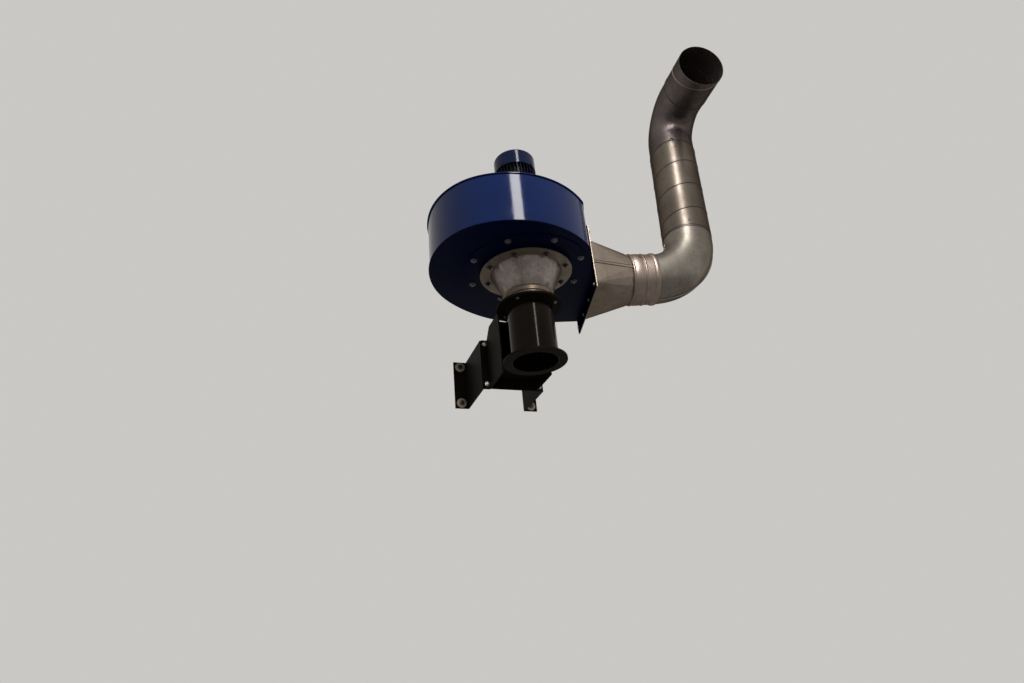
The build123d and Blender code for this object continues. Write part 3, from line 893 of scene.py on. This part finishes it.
def lock_seam(name, duct, length, start, finish):
    """A folded seam from the foot of a duct to its end, starting at an angle in degrees."""
    turns = (length - 2 * SEAM_INSET) / SEAM_PITCH
    place = raised(duct, SEAM_INSET) @ Matrix.Rotation(radians(start), 4, "Z")
    return wound(
        name, place, DUCT_OUT, SEAM_PROUD, SEAM_WIDTH, finish, turn=tau * turns, rise=SEAM_PITCH * turns
    )


lock_seam("riser_seam", riser, length=0.509, start=18, finish=grime_and_shade)
lock_seam("run_seam", run, length=0.160, start=308, finish=zinc_seam)

# %% [markdown]
# A bend's two seams are arcs in the plane that holds both its ends. That plane follows from the
# directions in which the bend starts and ends, so neither seam needs an angle of its own. The outer
# seam stands higher, because the press gathers more sheet there.

# %% Seams along the inside and the outside of each bend
ELBOW_START = Vector((0.7239, -0.3207, 0.365))
BEND_START = Vector((0.9965, -0.2902, 1.1435))
OUTER_PROUD, INNER_PROUD, PRESSED_WIDTH = 0.0038, 0.0016, 0.0026


def bend_seams(name, start, way_in, way_out, radius, turn, finish):
    """The two pressed seams of a bend that leaves start along way_in and ends along way_out."""
    side = (way_out - way_in * way_out.dot(way_in)).normalized()
    axis = -side.cross(way_in)
    turned_to_bend = Matrix((-side, axis.cross(-side), axis)).transposed().to_4x4()
    place = Matrix.Translation(start + side * radius) @ turned_to_bend
    edges = (("outer", radius + DUCT_R, OUTER_PROUD), ("inner", radius - DUCT_R, INNER_PROUD))
    for edge, reach, proud in edges:
        wound(f"{name}_{edge}_seam", place, reach, proud, PRESSED_WIDTH, finish, turn=radians(turn))


bend_seams("elbow", ELBOW_START, flow, RISER_WAY, radius=0.194, turn=84, finish=elbow_zinc)
bend_seams("bend", BEND_START, RISER_WAY, RUN_WAY, radius=0.137, turn=104, finish=bend_zinc)

# %% [markdown]
# Where two lengths of duct slip together, the gap is filled with sealant, which has gathered dirt,
# and a bead beside it stops the smaller tube. A painted line would do from afar, but the joint also
# breaks the outline. The bead at the riser's foot is tilted a little, as on a tube that was pushed
# home askew.

# %% Beads and sealant where the ducts slip together
askew = riser @ Matrix.Rotation(radians(0.7), 4, "X")
for name, duct, height, radius, proud, width in (
    ("riser_foot_sealant", riser, -0.0012, 0.1003, 0.0014, 0.0040),
    ("riser_foot_bead", askew, -0.0075, 0.1001, 0.0012, 0.0036),
    ("riser_top_sealant", riser, 0.5104, 0.1008, 0.0018, 0.0056),
    ("run_foot_sealant", run, -0.0012, 0.1008, 0.0018, 0.0056),
):
    wound(name, raised(duct, height), radius, proud, width, grime_and_shade)

# %% [markdown]
# The collar is stiffened by rolled beads, and between the first two its sheet swells a little,
# which spreads the shine there. The solid has a plain sleeve, so each bead is an oval ring whose
# inner half is buried in it, and the swell is a wider and lower one.

# %% Rolled beads and swell of the collar
COLLAR_R = 0.1012

collar = stand(on_fan(ROUND_END, OUTLET_SIDE, OUTLET_HEIGHT), flow, UP)
for name, height, proud, width in (
    ("near_bead", 0.0045, 0.0034, 0.0095),
    ("swell", 0.028, 0.0022, 0.036),
    ("middle_bead", 0.053, 0.003, 0.0095),
    ("far_bead", 0.096, 0.0042, 0.021),
):
    wound(f"collar_{name}", raised(collar, height), COLLAR_R, proud, width, new_zinc)

# %% [markdown]
# The pipe is welded to both its flanges. A weld is a rounded bead in the corner between the two, so
# a ring is laid half in the pipe and half in the flange, in the same black coat.

# %% Weld beads of the pipe and its flanges
WELD_R, WELD_PROUD, WELD_WIDTH = 0.0805, 0.003, 0.006

upright = Matrix.Translation(FAN_AXIS)
for name, height in (("pipe_top_weld", 0.109), ("pipe_bottom_weld", -0.082)):
    place = raised(upright, height)
    wound(name, place, WELD_R, WELD_PROUD, WELD_WIDTH, black_coat)

# %% [markdown]
# Two more seams are straight: the double fold down the middle of the square-to-round piece, and the
# soldered lap down the front of the cone. A bar is stretched between two points, laid on the sheet,
# and its top face is inset and pressed in, which leaves the two raised rims of a fold. Two thin dark
# bars along both sides of the fold are painted shadow.

# %% Straight folded seams
RIM_SHARE, ROUNDED_SHARE = 0.28, 0.3


def folded_bar(name, start, end, outward, width, proud, finish, pressed=0.0):
    """A low bar on a sheet from start to end, with its top pressed in when pressed is more than 0."""
    along = (end - start).normalized()
    outward = (outward - along * outward.dot(along)).normalized()
    bpy.ops.object.select_all(action="DESELECT")
    bpy.ops.mesh.primitive_cube_add(size=1)
    bar = bpy.context.active_object
    bar.name = name
    bar.scale = (width, proud, (end - start).length)
    bpy.ops.object.transform_apply(location=True, rotation=True, scale=True)
    edit_chosen(bar, "polygons", lambda face: face.normal.y > 0.9)
    if pressed:
        bpy.ops.mesh.inset(thickness=width * RIM_SHARE, depth=0)
        bpy.ops.transform.translate(value=(0, -pressed, 0))
    bpy.ops.object.mode_set(mode="OBJECT")
    round_edges(bar, proud * ROUNDED_SHARE)
    bpy.ops.object.shade_smooth_by_angle(angle=radians(50))
    turn = Matrix((outward.cross(along), outward, along)).transposed().to_4x4()
    bar.data.transform(Matrix.Translation((start + end) / 2) @ turn)
    return settle(bar, finish)


# %% The fold of the transition, its painted shadow, and the lap of the cone
FOLD_START, FOLD_START_SIDE, FOLD_END_SIDE = 0.268, 0.0958, 0.148
FOLD_SHADOW_RISE = 0.0056
LAP_ANGLE = 238.5
LAP_TOP_R, LAP_TOP, LAP_FOOT_R, LAP_FOOT = 0.126, 0.251, 0.085, 0.165

fold_start = on_fan(FOLD_START, FOLD_START_SIDE, OUTLET_HEIGHT)
fold_end = on_fan(ROUND_END, FOLD_END_SIDE, OUTLET_HEIGHT)
folded_bar("transition_fold", fold_start, fold_end, -across, 0.0085, 0.0026, flat_zinc, pressed=0.0009)
# Painted shadow: a thin dark bar just above and just below the fold.
for name, rise in (("upper", FOLD_SHADOW_RISE), ("lower", -FOLD_SHADOW_RISE)):
    start, end = fold_start + UP * rise, fold_end + UP * rise
    folded_bar(f"transition_fold_{name}_shadow", start, end, -across, 0.0022, 0.0012, grime_and_shade)

lap = compass(LAP_ANGLE)
lap_top = FAN_AXIS + lap * LAP_TOP_R + UP * LAP_TOP
lap_foot = FAN_AXIS + lap * LAP_FOOT_R + UP * LAP_FOOT
folded_bar("cone_lap", lap_top, lap_foot, lap, 0.0034, 0.0012, solder)

# %% [markdown]
# At the foot of the upper bend the sheet's edge has torn in a small notch, dark with the shade in it.
# Cutting the sheet would open the tube, and the real notch only looks dark, so two short dark bars
# that meet at a tip draw it instead, as painted shade.

# %% The notch where the upper bend's edge has torn
NOTCH_ANGLE, NOTCH_HALF = -122, 8
NOTCH_FOOT, NOTCH_TIP = 0.5105, 0.5275


def on_riser(angle, height, clear=0.0003):
    """A place just clear of the riser, by its angle in degrees and its height above the foot."""
    return riser @ (compass(angle) * (DUCT_OUT + clear) + UP * height)


tip = on_riser(NOTCH_ANGLE, NOTCH_TIP)
notch_out = riser.to_3x3() @ compass(NOTCH_ANGLE)
# Painted shade: two dark bars in a V draw the shaded notch.
for name, angle in (("notch_left", NOTCH_ANGLE - NOTCH_HALF), ("notch_right", NOTCH_ANGLE + NOTCH_HALF)):
    folded_bar(name, on_riser(angle, NOTCH_FOOT), tip, notch_out, 0.0042, 0.0018, grime_and_shade)

# %% [markdown]
# Four rivets pin each slip joint of the round duct, a quarter turn apart. Their heads are small
# domes, so the screw head from before serves again, standing outwards from the tube.

# %% Rivets at the duct joints
RIVET_R = 0.0036
RIVET_WAYS = [compass(angle) for angle in (-113.7, -23.7, 66.3, 156.3)]

for name, duct, height in (
    ("riser_foot_rivet", riser, 0.022),
    ("riser_top_rivet", riser, 0.470),
    ("run_rivet", run, 0.024),
):
    places = [duct @ (way * DUCT_OUT + UP * height) for way in RIVET_WAYS]
    outward = [duct.to_3x3() @ way for way in RIVET_WAYS]
    fasten(pan_screw(RIVET_R, rusty_steel), name, places, outward)

# %% [markdown]
# ## Floor and backdrop
#
# A studio of pale grey keeps the eye on the unit. A modelled backdrop would throw its own light and
# shadow, so the world plays that part: what the camera and the shiny faces see is a plain pale
# grey, and what lights the unit is a weak white from all round. The Light Path node tells the two
# apart.

# %% Floor and world
FLOOR_SIZE, FLOOR_MIDDLE = 16, (0.3, -1.0, -2.6)
GLOW, BACKDROP = 0.32, 1.0

bpy.ops.object.select_all(action="DESELECT")
bpy.ops.mesh.primitive_plane_add(size=FLOOR_SIZE, location=FLOOR_MIDDLE)
floor = bpy.context.active_object
floor.name = "floor"
floor.data.materials.append(Finish("pale_floor").made(colour=paint(204, 202, 198), roughness=0.8))

world = bpy.data.worlds.new("studio")
bpy.context.scene.world = world
world.use_nodes = True
studio = Graph(world.node_tree)
studio.tree.nodes.clear()
path = studio.node("ShaderNodeLightPath").out.node
camera_ray, glossy_ray, clear_ray = (
    Socket(studio, path.outputs[f"Is {kind} Ray"]) for kind in ("Camera", "Glossy", "Transmission")
)
shown = studio.math("ADD", camera_ray + glossy_ray, clear_ray, clamp=True)
glow = studio.node("ShaderNodeBackground", inputs={"Color": (1, 1, 1, 1), "Strength": GLOW})
backdrop = studio.node(
    "ShaderNodeBackground", inputs={"Color": paint(202, 200, 197), "Strength": BACKDROP}
)
both = studio.node("ShaderNodeMixShader", inputs={0: shown, 1: glow, 2: backdrop})
studio.feed(studio.tree.nodes.new("ShaderNodeOutputWorld").inputs["Surface"], both)
print("nodes of the world:", len(studio.tree.nodes))

# %% [markdown]
# ## Lamps
#
# Glossy paint and zinc show a lamp as a streak of its own shape, so the lamps are placed by the
# streaks. A tall narrow one draws the line down the drum, the pipe and the duct, and a low warm one
# adds the browner foot of the pipe's. Two wide soft ones fill the sides. They are kept out of
# reflections, because each would show as a pale square.

# %% Lamps
def lamp(name, place, target, width, height, power, colour=(1, 1, 1), mirrored=True):
    """A flat lamp in metres and watts that faces its target."""
    data = bpy.data.lights.new(name, "AREA")
    data.shape = "RECTANGLE"
    data.size = width
    data.size_y = height
    data.energy = power
    data.color = colour
    made = bpy.data.objects.new(name, data)
    bpy.context.scene.collection.objects.link(made)
    made.location = place
    made.rotation_mode = "QUATERNION"
    made.rotation_quaternion = (Vector(target) - Vector(place)).to_track_quat("-Z", "Y")
    made.visible_glossy = mirrored
    print("lamp", name, "watts:", power)


STREAK_X, STREAK_Y = 0.10, -2.10
TALL_MIDDLE, LOW_MIDDLE = 2.68, 0.925

lamp(
    "tall_lamp",
    place=(STREAK_X, STREAK_Y, TALL_MIDDLE),
    target=(AXIS_X, AXIS_Y, TALL_MIDDLE),
    width=0.36,
    height=2.95,
    power=96,
    colour=(1.0, 0.98, 0.97),
)
lamp(
    "low_lamp",
    place=(STREAK_X, STREAK_Y, LOW_MIDDLE),
    target=(AXIS_X, AXIS_Y, LOW_MIDDLE),
    width=0.13,
    height=0.55,
    power=7,
    colour=(1.0, 0.86, 0.76),
)
lamp("soft_left", (-3.4, -3.0, 0.2), (0.4, -0.35, 0.4), width=3.0, height=3.0, power=11, mirrored=False)
lamp("soft_right", (4.2, -2.8, 1.0), (0.5, -0.35, 0.5), width=3.0, height=3.0, power=16, mirrored=False)

bpy.context.scene.view_settings.view_transform = "Standard"
